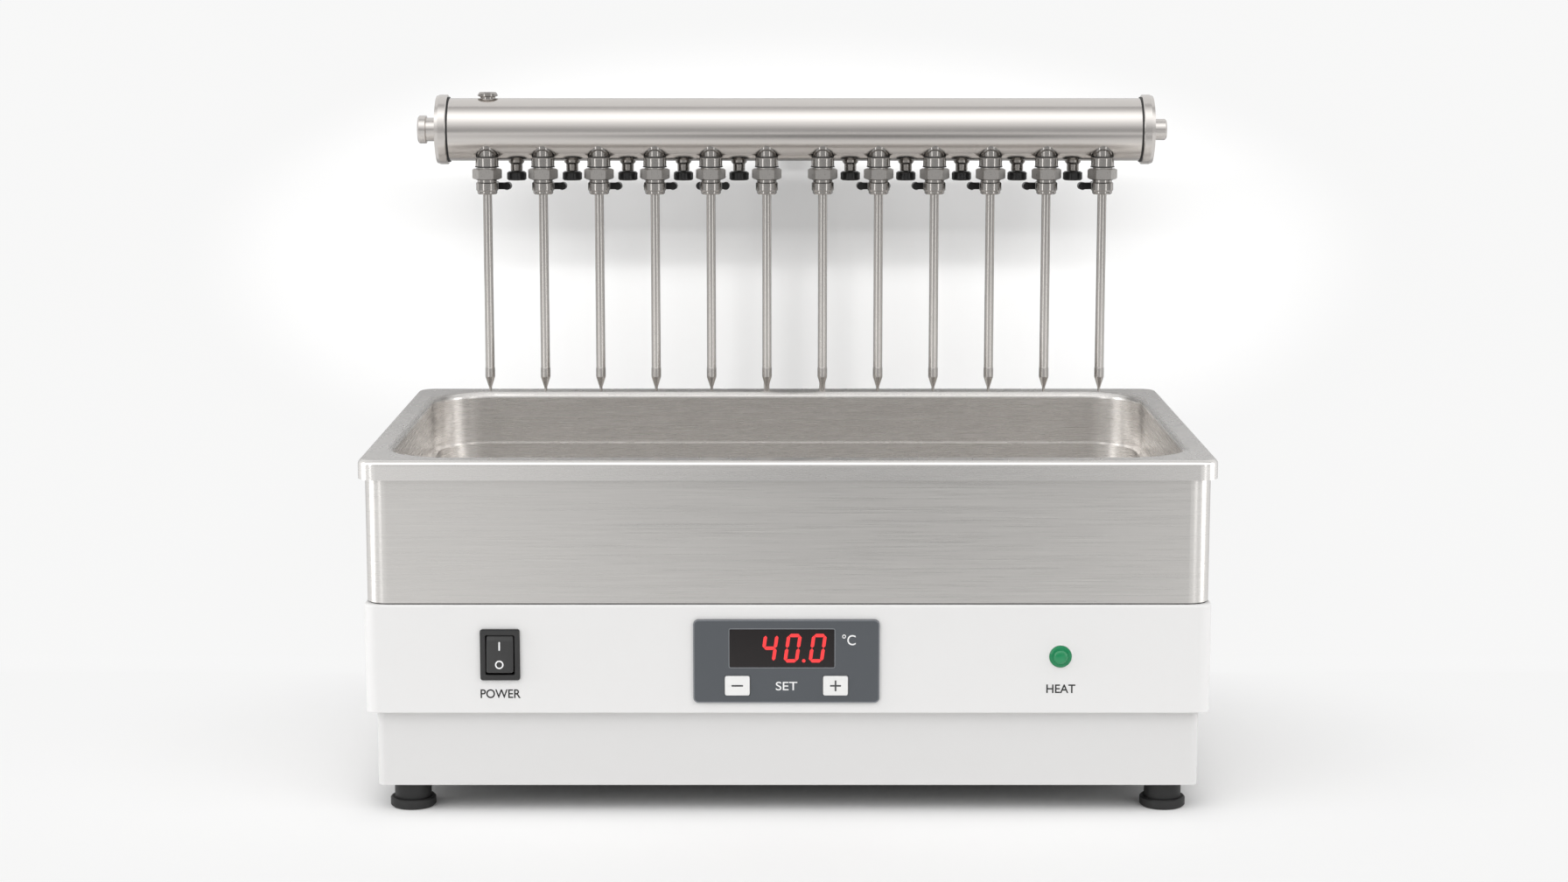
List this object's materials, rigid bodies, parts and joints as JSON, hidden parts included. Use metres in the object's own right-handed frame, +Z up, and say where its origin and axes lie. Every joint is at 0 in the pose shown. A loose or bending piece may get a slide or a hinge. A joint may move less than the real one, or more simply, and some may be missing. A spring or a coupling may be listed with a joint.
{
  "type": "nitrogen sample evaporator",
  "caption": "Heated stainless steel water bath on a white control housing, under a sliding horizontal gas manifold with needle valves and stopcocks.",
  "frame": {"origin": "middle of the machine's footprint, on the bench", "axes": "+X to the right along the bath, +Y from the front panel to the mast at the back, +Z up"},
  "size_m": [0.533, 0.3748, 0.4451],
  "materials": {
    "tank_steel": "satin",
    "jacket_steel": "brushed",
    "seal_rubber": "matte",
    "housing_paint": "satin",
    "plinth_paint": "satin",
    "plate_steel": "satin",
    "foot_rubber": "matte",
    "screw_steel": "satin",
    "heater_rubber": "matte",
    "insulation_foam": "matte",
    "probe_steel": "satin",
    "fascia_plastic": "satin",
    "window_plastic": "gloss",
    "board_laminate": "satin",
    "switch_plastic": "satin",
    "lamp_green": "gloss",
    "inlet_plastic": "satin",
    "bracket_steel": "brushed",
    "mast_steel": "brushed",
    "rocker_plastic": "satin",
    "key_plastic": "satin",
    "carriage_aluminium": "satin",
    "arm_aluminium": "satin",
    "clamp_plastic": "satin",
    "manifold_steel": "polished",
    "cap_steel": "satin",
    "gasket_rubber": "matte",
    "fitting_steel": "polished",
    "boss_steel": "polished",
    "nut_steel": "polished",
    "cock_steel": "polished",
    "needle_steel": "polished",
    "nozzle_steel": "polished",
    "bonnet_steel": "satin",
    "tap_plastic": "satin",
    "knob_plastic": "satin"
  },
  "bodies": {
    "base": {"bath_tank": "tank_steel", "outer_jacket": "jacket_steel", "jacket_seal": "seal_rubber", "control_housing": "housing_paint", "base_plinth": "plinth_paint", "bottom_plate": "plate_steel", "rubber_feet": "foot_rubber", "fasteners": "screw_steel", "heater_mat": "heater_rubber", "insulation": "insulation_foam", "temperature_probe": "probe_steel", "control_fascia": "fascia_plastic", "display_window": "window_plastic", "circuit_board": "board_laminate", "switch_frame": "switch_plastic", "heat_lamp": "lamp_green", "mains_inlet": "inlet_plastic", "mast_bracket": "bracket_steel", "mast_frame": "mast_steel"},
    "rocker": {"power_rocker": "rocker_plastic"},
    "minus_key": {"minus_button": "key_plastic"},
    "plus_key": {"plus_button": "key_plastic"},
    "lift": {"lift_carriage": "carriage_aluminium", "manifold_arm": "arm_aluminium", "manifold_tube": "manifold_steel", "end_caps": "cap_steel", "end_gaskets": "gasket_rubber", "gas_inlet_fitting": "fitting_steel", "end_stub": "fitting_steel", "top_plug": "fitting_steel", "station_bosses": "boss_steel", "union_nuts": "nut_steel", "stopcock_bodies": "cock_steel", "needle_tubes": "needle_steel", "nozzle_tips": "nozzle_steel", "knob_bonnets": "bonnet_steel"},
    "clamp": {"lift_clamp_knob": "clamp_plastic"},
    "tap_01": {"tap_handle_01": "tap_plastic"},
    "tap_02": {"tap_handle_02": "tap_plastic"},
    "tap_03": {"tap_handle_03": "tap_plastic"},
    "tap_04": {"tap_handle_04": "tap_plastic"},
    "tap_05": {"tap_handle_05": "tap_plastic"},
    "tap_06": {"tap_handle_06": "tap_plastic"},
    "tap_07": {"tap_handle_07": "tap_plastic"},
    "tap_08": {"tap_handle_08": "tap_plastic"},
    "tap_09": {"tap_handle_09": "tap_plastic"},
    "tap_10": {"tap_handle_10": "tap_plastic"},
    "tap_11": {"tap_handle_11": "tap_plastic"},
    "tap_12": {"tap_handle_12": "tap_plastic"},
    "flow_01": {"flow_knob_01": "knob_plastic"},
    "flow_02": {"flow_knob_02": "knob_plastic"},
    "flow_03": {"flow_knob_03": "knob_plastic"},
    "flow_04": {"flow_knob_04": "knob_plastic"},
    "flow_05": {"flow_knob_05": "knob_plastic"},
    "flow_06": {"flow_knob_06": "knob_plastic"},
    "flow_07": {"flow_knob_07": "knob_plastic"},
    "flow_08": {"flow_knob_08": "knob_plastic"},
    "flow_09": {"flow_knob_09": "knob_plastic"},
    "flow_10": {"flow_knob_10": "knob_plastic"}
  },
  "joints": [
    {"name": "lift_slide", "type": "slide", "parent": "base", "child": "lift", "axis": [0, 0, 1], "range_m": [-0.08, 0]},
    {"name": "lift_clamp_turn", "type": "hinge", "parent": "lift", "child": "clamp", "pos_m": [0.00525, 0.17544, 0.4112], "axis": [0, 1, 0], "range_deg": [0, 270]},
    {"name": "power_rocker_tilt", "type": "hinge", "parent": "base", "child": "rocker", "pos_m": [-0.1792, -0.17986, 0.1036], "axis": [1, 0, 0], "range_deg": [0, 14]},
    {"name": "minus_press", "type": "slide", "parent": "base", "child": "minus_key", "axis": [0, 1, 0], "range_m": [0, 0.0008], "stiffness_N_per_m": 1000, "springref_m": -0.0005},
    {"name": "plus_press", "type": "slide", "parent": "base", "child": "plus_key", "axis": [0, 1, 0], "range_m": [0, 0.0008], "stiffness_N_per_m": 1000, "springref_m": -0.0005},
    {"name": "tap_turn_01", "type": "hinge", "parent": "lift", "child": "tap_01", "pos_m": [-0.1988, -0.02286, 0.38235], "axis": [0.1219, 0.9925, 0], "range_deg": [0, 90]},
    {"name": "tap_turn_02", "type": "hinge", "parent": "lift", "child": "tap_02", "pos_m": [-0.1618, -0.02286, 0.38235], "axis": [0.1219, 0.9925, 0], "range_deg": [0, 90]},
    {"name": "tap_turn_03", "type": "hinge", "parent": "lift", "child": "tap_03", "pos_m": [-0.1248, -0.02286, 0.38235], "axis": [0.1219, 0.9925, 0], "range_deg": [0, 90]},
    {"name": "tap_turn_04", "type": "hinge", "parent": "lift", "child": "tap_04", "pos_m": [-0.0878, -0.02286, 0.38235], "axis": [0.1219, 0.9925, 0], "range_deg": [0, 90]},
    {"name": "tap_turn_05", "type": "hinge", "parent": "lift", "child": "tap_05", "pos_m": [-0.0508, -0.02286, 0.38235], "axis": [0.0349, 0.9994, 0], "range_deg": [0, 90]},
    {"name": "tap_turn_06", "type": "hinge", "parent": "lift", "child": "tap_06", "pos_m": [-0.0138, -0.02286, 0.38235], "axis": [0, 1, 0], "range_deg": [-90, 0]},
    {"name": "tap_turn_07", "type": "hinge", "parent": "lift", "child": "tap_07", "pos_m": [0.0232, -0.02286, 0.38235], "axis": [0, 1, 0], "range_deg": [-90, 0]},
    {"name": "tap_turn_08", "type": "hinge", "parent": "lift", "child": "tap_08", "pos_m": [0.0602, -0.02286, 0.38235], "axis": [-0.1219, 0.9925, 0], "range_deg": [0, 90]},
    {"name": "tap_turn_09", "type": "hinge", "parent": "lift", "child": "tap_09", "pos_m": [0.0972, -0.02286, 0.38235], "axis": [-0.1219, 0.9925, 0], "range_deg": [0, 90]},
    {"name": "tap_turn_10", "type": "hinge", "parent": "lift", "child": "tap_10", "pos_m": [0.1342, -0.02286, 0.38235], "axis": [-0.1219, 0.9925, 0], "range_deg": [0, 90]},
    {"name": "tap_turn_11", "type": "hinge", "parent": "lift", "child": "tap_11", "pos_m": [0.1712, -0.02286, 0.38235], "axis": [-0.1219, 0.9925, 0], "range_deg": [0, 90]},
    {"name": "tap_turn_12", "type": "hinge", "parent": "lift", "child": "tap_12", "pos_m": [0.2082, -0.02286, 0.38235], "axis": [-0.1219, 0.9925, 0], "range_deg": [0, 90]},
    {"name": "flow_turn_01", "type": "hinge", "parent": "lift", "child": "flow_01", "pos_m": [-0.1803, -0.01086, 0.3904], "axis": [0, 0, 1], "range_deg": [0, 270]},
    {"name": "flow_turn_02", "type": "hinge", "parent": "lift", "child": "flow_02", "pos_m": [-0.1433, -0.01086, 0.3904], "axis": [0, 0, 1], "range_deg": [0, 270]},
    {"name": "flow_turn_03", "type": "hinge", "parent": "lift", "child": "flow_03", "pos_m": [-0.1063, -0.01086, 0.3904], "axis": [0, 0, 1], "range_deg": [0, 270]},
    {"name": "flow_turn_04", "type": "hinge", "parent": "lift", "child": "flow_04", "pos_m": [-0.0693, -0.01086, 0.3904], "axis": [0, 0, 1], "range_deg": [0, 270]},
    {"name": "flow_turn_05", "type": "hinge", "parent": "lift", "child": "flow_05", "pos_m": [-0.0323, -0.01086, 0.3904], "axis": [0, 0, 1], "range_deg": [0, 270]},
    {"name": "flow_turn_06", "type": "hinge", "parent": "lift", "child": "flow_06", "pos_m": [0.0417, -0.01086, 0.3904], "axis": [0, 0, 1], "range_deg": [0, 270]},
    {"name": "flow_turn_07", "type": "hinge", "parent": "lift", "child": "flow_07", "pos_m": [0.0787, -0.01086, 0.3904], "axis": [0, 0, 1], "range_deg": [0, 270]},
    {"name": "flow_turn_08", "type": "hinge", "parent": "lift", "child": "flow_08", "pos_m": [0.1157, -0.01086, 0.3904], "axis": [0, 0, 1], "range_deg": [0, 270]},
    {"name": "flow_turn_09", "type": "hinge", "parent": "lift", "child": "flow_09", "pos_m": [0.1527, -0.01086, 0.3904], "axis": [0, 0, 1], "range_deg": [0, 270]},
    {"name": "flow_turn_10", "type": "hinge", "parent": "lift", "child": "flow_10", "pos_m": [0.1897, -0.01086, 0.3904], "axis": [0, 0, 1], "range_deg": [0, 270]}
  ]
}
